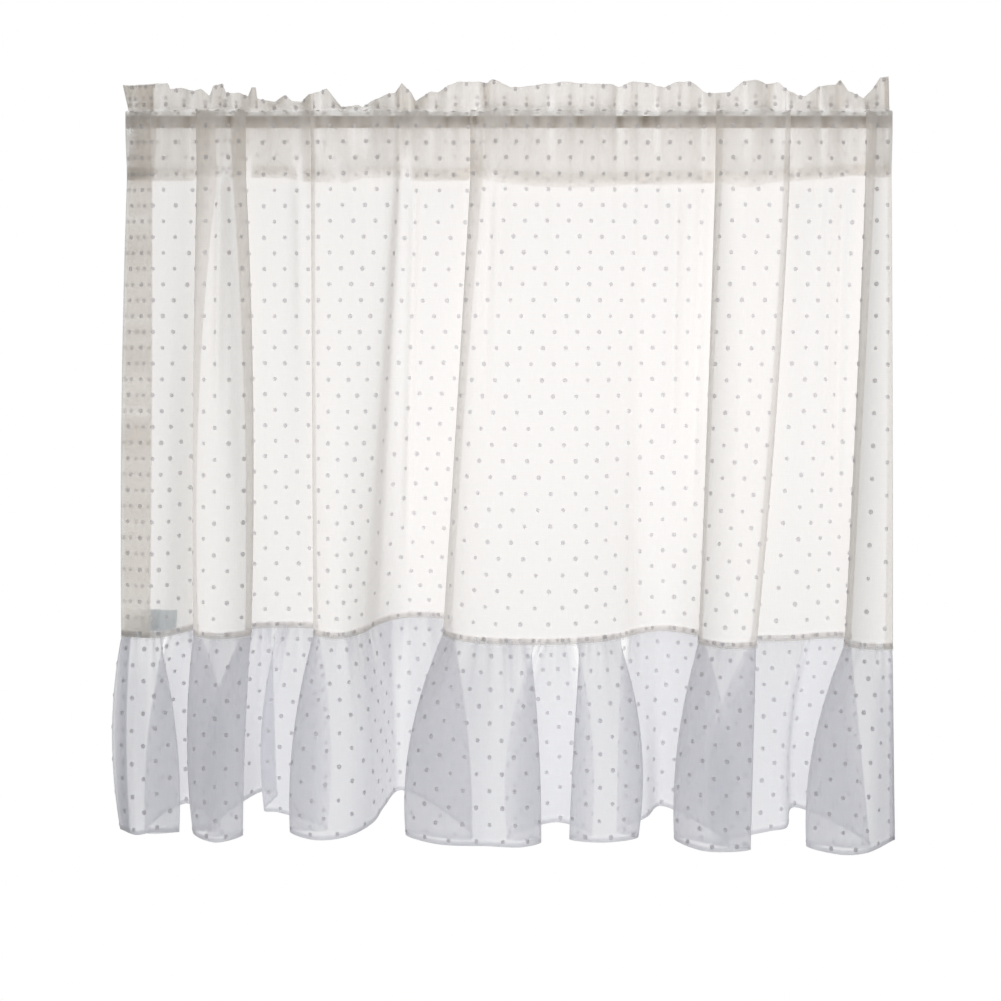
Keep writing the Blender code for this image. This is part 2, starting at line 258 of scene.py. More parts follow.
# Small ridges that the rod gathers up
rodGathers = np.array([
    # x, halfWidth, out
    (33, 6, 2.5), (58, 6, 3.5), (78, 4, 2.0), (113, 4, 2.0), (150, 7, 3.0), (173, 6, 4.0),
    (205, 8, 4.5), (243, 6, 3.0), (291, 6, 4.0), (311, 4, 2.5), (372, 6, 4.0), (386, 4, 2.0),
    (415, 9, 4.0), (437, 6, 3.0), (480, 7, 4.0), (515, 5, 2.5), (548, 6, 3.5), (575, 5, 2.0),
    (634, 7, 4.0), (665, 5, 2.5), (700, 6, 3.0), (722, 5, 3.0),
], float)

# Top edge of the frill: height above the rod axis
frillTop = np.array([
    # x, height
    (-3, 37), (42, 38), (43, 32), (53, 33), (66, 31), (74, 33), (83, 25), (86, 36), (96, 37),
    (100, 28), (112, 28), (121, 25), (124, 35), (128, 35), (130, 23), (149, 18), (158, 26),
    (165, 20), (176, 18), (182, 27), (200, 32), (211, 18), (216, 12), (230, 16), (236, 13),
    (262, 27), (268, 28), (274, 39), (284, 29), (289, 18), (303, 31), (311, 28), (320, 37),
    (332, 41), (352, 41), (360, 37), (364, 42), (383, 33), (407, 35), (433, 39), (473, 37),
    (492, 35), (503, 40), (524, 39), (536, 34), (548, 39), (562, 41), (578, 29), (601, 28),
    (616, 41), (628, 41), (636, 35), (650, 40), (669, 26), (677, 25), (692, 36), (707, 36),
    (713, 43), (720, 31), (736, 24), (744, 32), (752, 44), (763, 46),
], float)

# Lower edge of the heading: height below the rod axis
headingEdge = np.array([
    # x, height
    (0, -59), (66, -59), (70, -55), (94, -55), (116, -56), (163, -56), (173, -60), (218, -61),
    (237, -56), (270, -56), (285, -59), (340, -59), (344, -54), (373, -61), (408, -65), (436, -66),
    (467, -66), (487, -64), (503, -63), (540, -63), (546, -62), (584, -62), (590, -59), (614, -65),
    (627, -65), (638, -61), (701, -57), (721, -54), (737, -54), (764, -57),
], float)

# Places where the back of the heading hangs open and only the front covers
headingGaps = np.array([
    # x, halfWidth, share
    (80, 8, 0.4), (97.5, 6.0, 1.0), (121.5, 4.0, 1.0), (173, 3.5, 1.0), (210, 6.0, 0.7),
    (279, 6.5, 1.0), (365, 2.5, 0.7), (760, 3.0, 0.8), (588, 2.0, 0.6), (668, 3.0, 0.5),
], float)

# Long soft creases of the panel, each running down from one height to another
softCreases = np.array([
    # xTop, xFoot, halfWidth, out, top, bottom
    (96, 92, 5, 3.0, -40, -330),
    (108, 120, 6, -2.5, -40, -420),
    (172, 176, 5, -1.5, -50, -260),
    (288, 275, 4, -2.2, -50, -470),
    (362, 352, 5, -2.2, -50, -330),
    (372, 366, 6, 1.8, -50, -240),
    (430, 426, 10, -1.2, -60, -300),
    (548, 540, 6, 2.0, -60, -380),
    (576, 560, 5, -1.6, -60, -430),
    (640, 600, 8, -1.6, -60, -460),
    (700, 690, 6, 1.8, -60, -400),
    (716, 704, 4, -1.6, -60, -420),
], float)


def mix(first, second, start, end, at):
    return (first * (end - at) + second * (at - start)) / (end - start)


def softCurve(corners, cuts):
    # a rounded curve through the corners, with the same number of points in each span
    line = np.vstack([2 * corners[0] - corners[1], corners, 2 * corners[-1] - corners[-2]])
    a, b, c, d = (line[i:len(line) - 3 + i, None, :] for i in range(4))
    knotB = np.linalg.norm(b - a, axis=2, keepdims=True) ** 0.5
    knotC = knotB + np.linalg.norm(c - b, axis=2, keepdims=True) ** 0.5
    knotD = knotC + np.linalg.norm(d - c, axis=2, keepdims=True) ** 0.5
    share = (np.arange(cuts) / cuts)[None, :, None]
    at = knotB + share * (knotC - knotB)
    ab, bc, cd = mix(a, b, 0, knotB, at), mix(b, c, knotB, knotC, at), mix(c, d, knotC, knotD, at)
    early, late = mix(ab, bc, 0, knotC, at), mix(bc, cd, knotB, knotD, at)
    points = mix(early, late, knotB, knotC, at).reshape(-1, corners.shape[1])
    return np.vstack([points, corners[-1]])


def atHeight(height, levels, rows):
    # the parabola through the rows at three levels
    low, middle, high = levels
    shareLow = (height - middle) * (height - high) / ((low - middle) * (low - high))
    shareMiddle = (height - low) * (height - high) / ((middle - low) * (middle - high))
    shareHigh = (height - low) * (height - middle) / ((high - low) * (high - middle))
    return shareLow * rows[0] + shareMiddle * rows[1] + shareHigh * rows[2]


def eased(share):
    share = np.clip(share, 0, 1)
    return share * share * (3 - 2 * share)


def ridges(x, table):
    away = (x[:, None] - table[:, 0]) / table[:, 1]
    return (table[:, 2] * np.exp(-away * away)).sum(axis=1)


def marksAcross(x, table):
    return ridges(x.ravel(), table).reshape(x.shape)


def frillHeight(x):
    return np.interp(x, frillTop[:, 0], frillTop[:, 1])


def panelCorners(height):
    levels = (clothSet["foot"], clothSet["middle"], clothSet["stitch"])
    x = atHeight(height, levels, panelFolds[:, 2::-1].T)
    return np.column_stack([x, atHeight(height, levels, panelFolds[:, 5:2:-1].T)])


def creaseRelief(x, height):
    relief = np.zeros(len(x))
    span = clothSet["foot"] - clothSet["stitch"]
    for xTop, xFoot, halfWidth, out, top, bottom in softCreases:
        if bottom < height < top:
            share = (height - clothSet["stitch"]) / span
            fade = eased((top - height) / 30) * eased((height - bottom) / 120)
            centre = xTop + (xFoot - xTop) * share
            bell = np.exp(-(((x - centre) / halfWidth) ** 2))
            relief += clothSet["creaseStrength"] * out * fade * bell
    return relief


def finePleats(count, seed, spacing):
    # uneven little pleats as a table of place, halfWidth and depth
    choose = np.random.default_rng(seed)
    places = np.cumsum(choose.uniform(0.55, 1.45, count) * spacing)
    widths = spacing * choose.uniform(0.22, 0.45, count)
    depths = choose.uniform(-1.0, 1.0, count)
    return np.column_stack([places, widths, depths])


headingPleats = finePleats(75, 11, 10.5)


def frontRow(height):
    places = clothSet["panelCuts"]
    stitch, rodBand = clothSet["stitch"], clothSet["rodBand"]
    if height <= stitch:
        row = softCurve(panelCorners(height), places)
        near = clothSet["pleatShow"] * math.exp(-(stitch - height) / clothSet["pleatFade"])
        row[:, 1] += creaseRelief(row[:, 0], height) + near * ridges(row[:, 0], headingPleats)
        share = eased((stitch - height) / (stitch - clothSet["foot"]))
        sag = clothSet["forwardSag"] * (row[:, 1] - clothSet["sagFrom"]) * share
        return np.column_stack([row, height - sag])
    xHead, outHead = panelFolds[:, 0], panelFolds[:, 3]
    rise = eased((height - stitch) / (-rodBand - stitch))
    overRod = clothSet["rodStandoff"] + clothSet["pleatShare"] * outHead
    row = softCurve(np.column_stack([xHead, outHead * (1 - rise) + overRod * rise]), places)
    pleats = clothSet["pleatShow"] * ridges(row[:, 0], headingPleats)
    row[:, 1] += ridges(row[:, 0], rodGathers) * rise + pleats
    return np.column_stack([row, np.full(len(row), height)])


def frillFlare(x, rise):
    # the end corners of the frill stand out past the heading
    return x - frillSet["flare"] * rise * np.exp(-(x - x[0]) / frillSet["flareReach"])


def frillMiddle():
    # the doubled frill stands on the pinch above the rod: its middle line at the foot and top
    x = np.sort(panelFolds[:, 0])
    middle = frillSet["middleShare"] * panelFolds[:, 3] - frillSet["middleBack"]
    row = softCurve(np.column_stack([x, middle]), clothSet["panelCuts"])
    top = frillHeight(row[:, 0])
    foot = np.minimum(clothSet["pinch"], top - frillSet["leastHeight"])
    lean = frillSet["lean"] * (frillSet["leanFrom"] - top)
    pleats = ridges(row[:, 0], rodGathers) + frillSet["creases"] * ridges(row[:, 0], headingPleats)
    footOut = row[:, 1] + pleats * frillSet["footRuffle"]
    return row[:, 0], footOut, row[:, 1] + lean + pleats * frillSet["topRuffle"], foot, top


def flapRow(share):
    # share runs from the rod band down to the lower edge of the heading
    xHead, outHead = panelFolds[:, 0], panelFolds[:, 3]
    rodBand = clothSet["rodBand"]
    level = rodBand + (clothSet["flapEdge"] - rodBand) * share
    # it hangs behind the rearmost of the folds near it
    padded = np.pad(outHead, 2, mode="edge")
    rearmost = np.min([padded[i:i + len(xHead)] for i in range(5)], axis=0)
    rise = eased((level - clothSet["flapEdge"]) / (-rodBand - clothSet["flapEdge"]))
    out = (rearmost - clothSet["flapBehind"]) * (1 - rise) - clothSet["rodStandoff"] * rise
    row = softCurve(np.column_stack([np.sort(xHead), out]), clothSet["panelCuts"])
    row[:, 1] -= clothSet["flapGather"] * ridges(row[:, 0], rodGathers) * rise
    row[:, 1] += clothSet["flapPleat"] * ridges(row[:, 0], headingPleats) * (1 - rise)
    edge = np.interp(row[:, 0], headingEdge[:, 0], headingEdge[:, 1])
    return np.column_stack([row, rodBand + (edge - rodBand) * share])


def frillRow(band, x, out, height, share):
    # the turned-under pleats of the heading open out as the frill rises
    opened = eased((height - clothSet["rodBand"]) / frillSet["openOver"])
    share = eased(np.asarray(share, float))
    across = band[:, 0] * (1 - opened) + x * opened
    pleat = 0.5 * (band[:, 1] - band[:, 1].min()) * (1 - opened)
    forward = band[:, 1] * (1 - share) + (out + pleat) * share
    return np.column_stack([across, forward, height])


def panelRows():
    # up the front, over the rod, up and down the frill, and down behind the heading
    stitch, rodBand = clothSet["stitch"], clothSet["rodBand"]
    heights = np.linspace(clothSet["foot"], stitch - 1, clothSet["panelRows"])
    rows = [frontRow(height) for height in heights]
    rows += [frontRow(height) for height in np.linspace(stitch, rodBand, clothSet["headingRows"])]
    x, footOut, topOut, foot, top = frillMiddle()
    gap, bend = clothSet["plyGap"], frillSet["bend"]
    tall = top - gap - foot
    band = rows[-1]
    for share in (0.25, 0.5, 0.75):
        height = rodBand + (foot - rodBand) * share
        rows.append(frillRow(band, x, footOut + gap, height, share))
    for share in np.linspace(0, 1, 9):
        out = footOut + (topOut - footOut) * share ** bend + gap
        rows.append(frillRow(band, frillFlare(x, share), out, foot + tall * share, 1))
    for angle in (45, 90, 135):
        turn = math.radians(angle)
        out, height = topOut + gap * math.cos(turn), top - gap + gap * math.sin(turn)
        rows.append(np.column_stack([frillFlare(x, 1), out, height]))
    for share in np.linspace(1, 0, 8):
        out = footOut + (topOut - footOut) * share ** bend - gap
        rows.append(np.column_stack([frillFlare(x, share), out, foot + tall * share]))
    back = flapRow(0)
    for share in (0.7, 0.35):
        rows.append(back * (1 - share) + np.column_stack([x, footOut - gap, foot]) * share)
    rows += [flapRow(share) for share in np.linspace(0, 1, clothSet["flapRows"])]
    return np.array(rows)


def unitSteps(grid, axis):
    steps = np.diff(grid, axis=axis)
    steps /= np.maximum(np.linalg.norm(steps, axis=2, keepdims=True), 1e-9)
    first, last = np.take(steps, [0], axis), np.take(steps, [-1], axis)
    return np.concatenate([first, steps], axis) + np.concatenate([steps, last], axis)


def outwardNormals(grid):
    normal = np.cross(unitSteps(grid, 0), unitSteps(grid, 1))
    return normal / np.maximum(np.linalg.norm(normal, axis=2, keepdims=True), 1e-9)


def flatSteps(grid, axis):
    # how far apart the columns or rows lie on the cut cloth
    lengths = np.linalg.norm(np.diff(grid, axis=axis), axis=2)
    return np.concatenate([[0], np.cumsum(np.median(lengths, axis=1 - axis))])


def sample(values, places, at, axis):
    # values between the rows or columns of a grid, at distances over the flat cloth
    index = np.interp(at, places, np.arange(len(places)))
    low = np.clip(index.astype(int), 0, len(places) - 2)
    share = (index - low).reshape((-1, 1, 1) if axis == 0 else (1, -1, 1))
    return np.take(values, low, axis) * (1 - share) + np.take(values, low + 1, axis) * share


def turnEdge(cloth, axis, atStart, layers, gap):
    # folds cloth under at one edge: each layer is (from, to, how many gaps behind)
    grid, normal = cloth["grid"], cloth["normal"]
    flat = cloth["v"] if axis == 0 else cloth["u"]
    edge = flat[0] if atStart else flat[-1]
    sign = 1 if atStart else -1
    strips, normals, added = [], [], []
    run = last = 0.0
    for start, end, level in layers:
        count = max(int(abs(end - start) / clothSet["turnStep"]), 2)
        run += math.pi * gap * abs(level) / 2 if not strips else gap
        for away in np.linspace(start, end, count):
            at = np.array([edge + sign * away])
            behind = sample(normal, flat, at, axis)
            behind = behind / np.linalg.norm(behind, axis=2, keepdims=True)
            strips.append(sample(grid, flat, at, axis) - behind * gap * level)
            normals.append(behind)
            run += abs(away - last) if added else 0.0
            last = away
            added.append(run)
    strip, stripNormal = np.concatenate(strips, axis), np.concatenate(normals, axis)
    lengths = np.array(added)
    if atStart:
        strip, stripNormal = np.flip(strip, axis), np.flip(stripNormal, axis)
        cloth["grid"] = np.concatenate([strip, grid], axis)
        cloth["normal"] = np.concatenate([stripNormal, normal], axis)
        flat = np.concatenate([(edge - lengths)[::-1], flat])
    else:
        cloth["grid"] = np.concatenate([grid, strip], axis)
        cloth["normal"] = np.concatenate([normal, stripNormal], axis)
        flat = np.concatenate([flat, edge + lengths])
    cloth["v" if axis == 0 else "u"] = flat


def clothFrom(grid):
    # u and v are the distances over the flat cloth, across and up
    across, up = flatSteps(grid, 1), flatSteps(grid, 0)
    return {"grid": grid, "normal": outwardNormals(grid), "u": across, "v": up}


def flatSize(cloth):
    return (float(np.ptp(cloth["u"])) * millimetre, float(np.ptp(cloth["v"])) * millimetre)


def markCloth(cloth, addedThreadsAndLight):
    # how many layers of thread the light meets: more where cloth is gathered; where it slants back
    # from the front it is made denser too, a painted shade on the sides of folds
    normal = cloth["normal"]
    facing = np.abs(normal[:, :, 1]) / np.maximum(np.hypot(normal[:, :, 0], normal[:, :, 1]), 1e-6)
    depthAndShade = 1 / np.maximum(facing, clothSet["steepest"])
    cloth["marks"] = {"depthAndShade": depthAndShade * (1 + addedThreadsAndLight)}


def addSheet(name, cloth, finish):
    rows, columns = cloth["grid"].shape[:2]
    bpy.ops.object.select_all(action="DESELECT")
    bpy.ops.mesh.primitive_grid_add(x_subdivisions=columns - 1, y_subdivisions=rows - 1, size=1)
    sheet = bpy.context.active_object
    sheet.name = sheet.data.name = name
    mesh = sheet.data
    points = cloth["grid"].reshape(-1, 3) * (millimetre, -millimetre, millimetre)
    mesh.vertices.foreach_set("co", points.ravel())
    corner = np.empty(len(mesh.loops), int)
    mesh.loops.foreach_get("vertex_index", corner)
    across, up = np.meshgrid(cloth["u"] * millimetre, cloth["v"] * millimetre)
    flat = np.column_stack([across.ravel(), up.ravel()])
    mesh.uv_layers.active.data.foreach_set("uv", flat[corner].ravel())
    for label, values in cloth.get("marks", {}).items():
        mark = mesh.attributes.new(label, "FLOAT", "POINT")
        mark.data.foreach_set("value", values.ravel().astype(np.float32))
    mesh.materials.append(finish)
    mesh.update()
    bpy.ops.object.shade_smooth()
    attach(sheet, "root")
    return sheet


def addSocket(group, name, way, kind, value=None):
    socket = group.interface.new_socket(name=name, in_out=way, socket_type=kind)
    if value is not None:
        socket.default_value = value
    return socket


def mathNode(nodes, links, operation, first, second=None, third=None):
    node = nodes.new("ShaderNodeMath")
    node.operation = operation
    for socket, value in zip(node.inputs, (first, second, third)):
        if value is None:
            continue
        if isinstance(value, (int, float)):
            socket.default_value = value
        else:
            links.new(value, socket)
    return node.outputs[0]


def makeWeaveGroup():
    # threads of the voile: how closely they cover, how high they stand and how their tone varies
    group = bpy.data.node_groups.new("voileWeave", "ShaderNodeTree")
    addSocket(group, "Flat", "INPUT", "NodeSocketVector")
    addSocket(group, "Threads", "INPUT", "NodeSocketFloat", 900.0)
    addSocket(group, "Slub", "INPUT", "NodeSocketFloat", 1.0)
    addSocket(group, "Cover", "OUTPUT", "NodeSocketFloat")
    addSocket(group, "Height", "OUTPUT", "NodeSocketFloat")
    addSocket(group, "Tone", "OUTPUT", "NodeSocketFloat")
    nodes, links = group.nodes, group.links
    given = nodes.new("NodeGroupInput")
    result = nodes.new("NodeGroupOutput")
    split = nodes.new("ShaderNodeSeparateXYZ")
    links.new(given.outputs["Flat"], split.inputs[0])
    heights, slubs = [], []
    for axis, stretch in (("X", (1400.0, 55.0, 1.0)), ("Y", (55.0, 1400.0, 1.0))):
        thread = mathNode(nodes, links, "MULTIPLY", split.outputs[axis], given.outputs["Threads"])
        turn = mathNode(nodes, links, "MULTIPLY", thread, 2 * math.pi)
        heights.append(mathNode(nodes, links, "SINE", turn))
        scaled = nodes.new("ShaderNodeVectorMath")
        scaled.operation = "MULTIPLY"
        links.new(given.outputs["Flat"], scaled.inputs[0])
        scaled.inputs[1].default_value = stretch
        noise = nodes.new("ShaderNodeTexNoise")
        noise.inputs["Scale"].default_value = 1.0
        noise.inputs["Detail"].default_value = 2.0
        links.new(scaled.outputs[0], noise.inputs["Vector"])
        slubs.append(mathNode(nodes, links, "SUBTRACT", noise.outputs[0], 0.5))
    height = mathNode(nodes, links, "MULTIPLY", mathNode(nodes, links, "MAXIMUM", *heights), 0.5)
    slub = mathNode(nodes, links, "ADD", *slubs)
    slub = mathNode(nodes, links, "MULTIPLY", slub, given.outputs["Slub"])
    cloud = nodes.new("ShaderNodeTexNoise")
    cloud.inputs["Scale"].default_value = 14.0
    cloud.inputs["Detail"].default_value = 3.0
    links.new(given.outputs["Flat"], cloud.inputs["Vector"])
    links.new(mathNode(nodes, links, "ADD", height, slub), result.inputs["Height"])
    links.new(slub, result.inputs["Cover"])
    links.new(cloud.outputs[0], result.inputs["Tone"])
    return group


def makeMottleGroup():
    # the warm and cool tones that wander over a cloth or thread
    group = bpy.data.node_groups.new("clothMottle", "ShaderNodeTree")
    addSocket(group, "Tone", "INPUT", "NodeSocketFloat", 0.5)
    addSocket(group, "Warm", "INPUT", "NodeSocketColor", (1, 1, 1, 1))
    addSocket(group, "Cool", "INPUT", "NodeSocketColor", (1, 1, 1, 1))
    addSocket(group, "Color", "OUTPUT", "NodeSocketColor")
    nodes, links = group.nodes, group.links
    given = nodes.new("NodeGroupInput")
    result = nodes.new("NodeGroupOutput")
    blend = nodes.new("ShaderNodeMix")
    blend.data_type = "RGBA"
    links.new(given.outputs["Tone"], blend.inputs["Factor"])
    links.new(given.outputs["Cool"], blend.inputs["A"])
    links.new(given.outputs["Warm"], blend.inputs["B"])
    links.new(blend.outputs["Result"], result.inputs["Color"])
    return group


voileSet = {
    "slubCover": 0.06,
    "threadsPerMetre": 900.0,
    "bump": 0.00025,
    # cover, warm tone, cool tone, tone of the light through the threads, and its share
    "panel": (0.60, (0.965, 0.930, 0.895, 1), (0.930, 0.915, 0.895, 1),
              (0.975, 0.945, 0.885, 1), 0.5),
    # painted shade: the flounce is the panel's voile given cooler, greyer tones and a smaller
    # share of light through it
    "flounce": (0.565, (0.94, 0.935, 0.965, 1), (0.89, 0.90, 0.945, 1),
                (0.94, 0.95, 0.98, 1), 0.18),
    "seam": (0.20, (0.90, 0.88, 0.86, 1), (0.84, 0.83, 0.82, 1), (0.86, 0.85, 0.84, 1), 0.4),
    "label": (0.93, (0.36, 0.46, 0.50, 1), (0.30, 0.36, 0.42, 1), (0.32, 0.44, 0.50, 1), 0.5),
}

weaveGroup = makeWeaveGroup()
mottleGroup = makeMottleGroup()


def makeVoile(name, cover, warm, cool, through, lightThrough):
    finish = bpy.data.materials.new(name)
    finish.use_nodes = True
    nodes, links = finish.node_tree.nodes, finish.node_tree.links
    shader = nodes["Principled BSDF"]
    shader.inputs["Roughness"].default_value = 0.82
    shader.inputs["Specular IOR Level"].default_value = 0.25
    shader.inputs["Sheen Weight"].default_value = 0.25
    shader.inputs["Sheen Roughness"].default_value = 0.5
    flat = nodes.new("ShaderNodeUVMap")
    flat.uv_map = "UVMap"
    weave = nodes.new("ShaderNodeGroup")
    weave.node_tree = weaveGroup
    weave.inputs["Threads"].default_value = voileSet["threadsPerMetre"]
    links.new(flat.outputs[0], weave.inputs["Flat"])
    mottle = nodes.new("ShaderNodeGroup")
    mottle.node_tree = mottleGroup
    mottle.inputs["Warm"].default_value = warm
    mottle.inputs["Cool"].default_value = cool
    links.new(weave.outputs["Tone"], mottle.inputs["Tone"])
    links.new(mottle.outputs["Color"], shader.inputs["Base Color"])
    bump = nodes.new("ShaderNodeBump")
    bump.inputs["Strength"].default_value = 0.35
    bump.inputs["Distance"].default_value = voileSet["bump"]
    links.new(weave.outputs["Height"], bump.inputs["Height"])
    links.new(bump.outputs[0], shader.inputs["Normal"])
    # light that gets past the threads: less where the cloth is gathered, and less where it slants
    # away, which is painted shade on fold sides
    depthAndShade = nodes.new("ShaderNodeAttribute")
    depthAndShade.attribute_name = "depthAndShade"
    openShare = mathNode(nodes, links, "MULTIPLY_ADD", weave.outputs["Cover"],
                         -voileSet["slubCover"], 1 - cover)
    past = mathNode(nodes, links, "POWER", openShare, depthAndShade.outputs["Fac"])
    amount = mathNode(nodes, links, "SUBTRACT", 1.0, past)
    glow = nodes.new("ShaderNodeBsdfTranslucent")
    glow.inputs["Color"].default_value = through
    links.new(bump.outputs[0], glow.inputs["Normal"])
    body = nodes.new("ShaderNodeMixShader")
    body.inputs[0].default_value = lightThrough
    links.new(shader.outputs[0], body.inputs[1])
    links.new(glow.outputs[0], body.inputs[2])
    clear = nodes.new("ShaderNodeBsdfTransparent")
    sheer = nodes.new("ShaderNodeMixShader")
    links.new(amount, sheer.inputs[0])
    links.new(clear.outputs[0], sheer.inputs[1])
    links.new(body.outputs[0], sheer.inputs[2])
    links.new(sheer.outputs[0], nodes["Material Output"].inputs["Surface"])
    return finish


def makeMatte(name, color, through):
    finish = bpy.data.materials.new(name)
    finish.use_nodes = True
    nodes, links = finish.node_tree.nodes, finish.node_tree.links
    shader = nodes["Principled BSDF"]
    shader.inputs["Roughness"].default_value = 0.75
    place = nodes.new("ShaderNodeTexCoord")
    noise = nodes.new("ShaderNodeTexNoise")
    noise.inputs["Scale"].default_value = 900.0
    links.new(place.outputs["Object"], noise.inputs["Vector"])
    mottle = nodes.new("ShaderNodeGroup")
    mottle.node_tree = mottleGroup
    mottle.inputs["Warm"].default_value = (*color, 1)
    mottle.inputs["Cool"].default_value = (*(part * 0.86 for part in color), 1)
    links.new(noise.outputs[0], mottle.inputs["Tone"])
    links.new(mottle.outputs["Color"], shader.inputs["Base Color"])
    bump = nodes.new("ShaderNodeBump")
    bump.inputs["Strength"].default_value = 0.5
    bump.inputs["Distance"].default_value = 0.0002
    links.new(noise.outputs[0], bump.inputs["Height"])
    links.new(bump.outputs[0], shader.inputs["Normal"])
    glow = nodes.new("ShaderNodeBsdfTranslucent")
    links.new(mottle.outputs["Color"], glow.inputs["Color"])
    body = nodes.new("ShaderNodeMixShader")
    body.inputs[0].default_value = through
    links.new(shader.outputs[0], body.inputs[1])
    links.new(glow.outputs[0], body.inputs[2])
    links.new(body.outputs[0], nodes["Material Output"].inputs["Surface"])
    return finish


panelVoile = makeVoile("panelVoile", *voileSet["panel"])
flounceVoileShaded = makeVoile("flounceVoileShaded", *voileSet["flounce"])
seamVoile = makeVoile("seamVoile", *voileSet["seam"])
labelSatin = makeVoile("labelSatin", *voileSet["label"])
dotThread = makeMatte("dotThread", (0.85, 0.84, 0.85), 0.62)
print("finishes are made")


panelCloth = clothFrom(panelRows())
gap = clothSet["turnGap"]
sideTurns = ((0.5, clothSet["sideHem"], 2), (clothSet["sideHem"], 3, 1))
turnEdge(panelCloth, 1, True, sideTurns, gap)
turnEdge(panelCloth, 1, False, ((0.5, 5, 1),), gap)
rowsBefore = len(panelCloth["v"])
turnEdge(panelCloth, 0, True, ((0.5, clothSet["seamAllowance"], 1),), gap)
allowanceRows = len(panelCloth["v"]) - rowsBefore
turnEdge(panelCloth, 0, False, ((0.5, clothSet["flapTurn"], 1),), gap)

# How tightly the cloth is gathered, place by place, as a share added to its threads, with painted
# light at the frill foot
panelThreadsAndLightSet = {
    "rodReach": 6.5,
    "overRod": 0.7,
    "rodShows": 1.3,
    "frillFoot": 9.8,
    "frillFootLightened": 0.66,
    "headingExtra": 0.12,
    "pleats": 1.1,
    "pleatReach": 38.0,
    "pleatLoosest": -0.6,
    "hemPuckers": 0.32,
    "hemLoose": 0.2,
    "flapReach": 85.0,
    "frontOpen": 0.35,
    "allowanceLoose": 0.45,
    "frillLoosest": -0.66,
    "loosest": -0.96,
}

# Places where the cloth over the rod is thin and the rod shows
rodShows = np.array([
    # x, halfWidth, share
    (290, 16, -0.8),
    (212, 8, 0.9), (246, 3, 0.6), (267, 5, 0.9), (319, 5, 0.7), (345, 7, 1.0), (384, 5, 1.0),
    (409, 7, 0.9), (430, 4, 0.8), (452, 9, 1.0), (487, 8, 0.8), (516, 11, 1.0), (570, 4, 0.8),
    (606, 7, 0.55), (630, 9, 0.55), (672, 9, 0.45), (704, 12, 0.5), (20, 14, 0.6),
    (60, 10, 0.5), (108, 12, 0.8), (150, 8, 0.5),
], float)

# Places where the frill is bunched
frillBunches = np.array([
    # x, halfWidth, share
    (91, 6, 0.5), (126, 3, 1.1), (151, 6, 0.3), (248, 14, -0.25), (275, 5, 0.6), (303, 4, 0.4),
    (359, 4, 0.9), (440, 26, -0.2), (584, 7, 0.4), (638, 5, 0.4), (712, 14, 0.7), (742, 12, 0.7),
], float)


def panelThreadsAndLight():
    placeX, placeZ = panelCloth["grid"][:, :, 0], panelCloth["grid"][:, :, 2]
    threadsAndPaintedLight = np.zeros(placeX.shape)
    nearRod = 1 / (1 + (placeZ / panelThreadsAndLightSet["rodReach"]) ** 6)
    threadsAndPaintedLight += nearRod * (panelThreadsAndLightSet["overRod"] - panelThreadsAndLightSet["rodShows"] * marksAcross(placeX, rodShows))
    # painted light: the cloth at the frill foot is made more see-through, so the shelf there that
    # faces up looks lighter
    fromFoot = (placeZ - panelThreadsAndLightSet["frillFoot"]) / 2
    threadsAndPaintedLight -= panelThreadsAndLightSet["frillFootLightened"] * np.exp(-fromFoot ** 2)
    threadsAndPaintedLight += eased((placeZ - 11) / 8) * marksAcross(placeX, frillBunches)
    threadsAndPaintedLight += panelThreadsAndLightSet["headingExtra"] * eased((placeZ + 62) / 4) * eased((8 - placeZ) / 6)
    pleats = np.maximum(marksAcross(placeX, headingPleats), panelThreadsAndLightSet["pleatLoosest"])
    threadsAndPaintedLight += panelThreadsAndLightSet["pleats"] * np.exp(-((placeZ + 4) / panelThreadsAndLightSet["pleatReach"]) ** 2) * pleats
    # the side hem puckers along its stitches
    inHem = placeX < clothSet["sideHem"] - 2
    puckers = panelThreadsAndLightSet["hemPuckers"] * ridges(panelCloth["v"], finePleats(86, 31, 9.0))
    hemLoose = panelThreadsAndLightSet["hemLoose"] * eased((placeZ + 60) / 10)
    threadsAndPaintedLight += np.where(inHem, puckers[:, None] - hemLoose, 0)
    # the back of the heading hangs open in a few places, and the front is looser there
    onFlap = (panelCloth["v"] > panelCloth["v"][-1] - panelThreadsAndLightSet["flapReach"])[:, None]
    openBack = eased((-8 - placeZ) / 45) * np.minimum(marksAcross(placeX, headingGaps), 1)
    threadsAndPaintedLight = np.where(onFlap, threadsAndPaintedLight - openBack, threadsAndPaintedLight)
    threadsAndPaintedLight -= panelThreadsAndLightSet["frontOpen"] * openBack * (placeZ > -62)
    # the seam allowance is trimmed cloth with no gathers in it
    threadsAndPaintedLight[:allowanceRows] -= panelThreadsAndLightSet["allowanceLoose"]
    return np.maximum(threadsAndPaintedLight, np.where(placeZ > 7, panelThreadsAndLightSet["frillLoosest"], panelThreadsAndLightSet["loosest"]))


markCloth(panelCloth, panelThreadsAndLight())
panelSheet = addSheet("panelSheet", panelCloth, panelVoile)
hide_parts("panel")
print("panel is hung", flatSize(panelCloth))


flounceSet = {
    "seam": -511.5,
    "swell": -585.0,
    "hem": -692.0,
    "rows": 46,
    "cuts": 9,
    "allowance": 6.0,
    "seamBehind": 1.6,
    "bottomHem": 4.0,
    "sideHem": 16.0,
    "pleatDepth": 2.6,
    "pleatReach": 22.0,
    "pleatSpacing": 6.8,
    "behindReach": 6.0,
    "rowSpread": 0.8,
    "hemDropCurve": 1.3,
}

